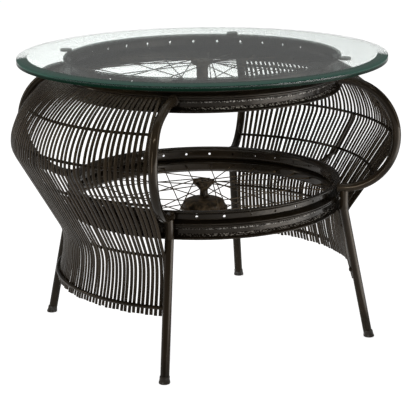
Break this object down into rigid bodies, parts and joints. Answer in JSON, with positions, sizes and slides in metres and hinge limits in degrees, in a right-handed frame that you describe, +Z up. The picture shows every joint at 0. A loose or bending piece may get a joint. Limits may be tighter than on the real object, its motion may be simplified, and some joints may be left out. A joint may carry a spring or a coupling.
{
  "type": "coffee table",
  "caption": "Round glass coffee table built from bicycle rims: bevelled top, spoked wheel as a shelf, half-round tube bows, splayed legs and side curtains of bent rod.",
  "frame": {"origin": "centre of the table on the floor, under the axis of both wheels", "axes": "+Z up along the wheels' axis, +X towards the right rod curtain, -Y towards the open front"},
  "size_m": [0.7993, 0.762, 0.5934],
  "materials": {
    "iron": "glossy bronze-black",
    "hub_steel": "satin, aged",
    "glass": "clear, green edge",
    "rubber": "matt"
  },
  "bodies": {
    "frame": {"upper_bare_rim": "iron", "upper_laced_rim": "iron", "upper_hub": "hub_steel", "lower_bare_rim": "iron", "lower_laced_rim": "iron", "lower_hub": "hub_steel", "bow_front_right": "iron", "bow_back_right": "iron", "bow_back_left": "iron", "bow_front_left": "iron", "leg_socket_front_right": "iron", "leg_socket_back_right": "iron", "leg_socket_back_left": "iron", "leg_socket_front_left": "iron", "leg_front_right": "iron", "leg_back_right": "iron", "leg_back_left": "iron", "leg_front_left": "iron", "foot_front_right": "rubber", "foot_back_right": "rubber", "foot_back_left": "rubber", "foot_front_left": "rubber", "glass_pad_front_right": "rubber", "glass_pad_back_right": "rubber", "glass_pad_back_left": "rubber", "glass_pad_front_left": "rubber", "left_rod_curtain": "iron", "left_shoulder_hoop": "iron", "left_bulge_hoop": "iron", "left_shelf_hoop": "iron", "left_waist_hoop": "iron", "left_hem_hoop": "iron", "left_middle_rib": "iron", "right_rod_curtain": "iron", "right_shoulder_hoop": "iron", "right_bulge_hoop": "iron", "right_shelf_hoop": "iron", "right_waist_hoop": "iron", "right_hem_hoop": "iron", "right_middle_rib": "iron"},
    "top": {"glass_top": "glass"},
    "upper_axle": {"upper_axle": "hub_steel"},
    "lower_axle": {"lower_axle": "hub_steel"}
  },
  "joints": [
    {"name": "glass_lift", "type": "slide", "parent": "frame", "child": "top", "axis": [0, 0, 1], "range_m": [0, 0.15]},
    {"name": "upper_axle_spin", "type": "hinge", "parent": "frame", "child": "upper_axle", "pos_m": [0, 0, 0.53375], "axis": [0, 0, 1], "continuous": true},
    {"name": "lower_axle_spin", "type": "hinge", "parent": "frame", "child": "lower_axle", "pos_m": [0, 0, 0.28475], "axis": [0, 0, 1], "continuous": true}
  ]
}
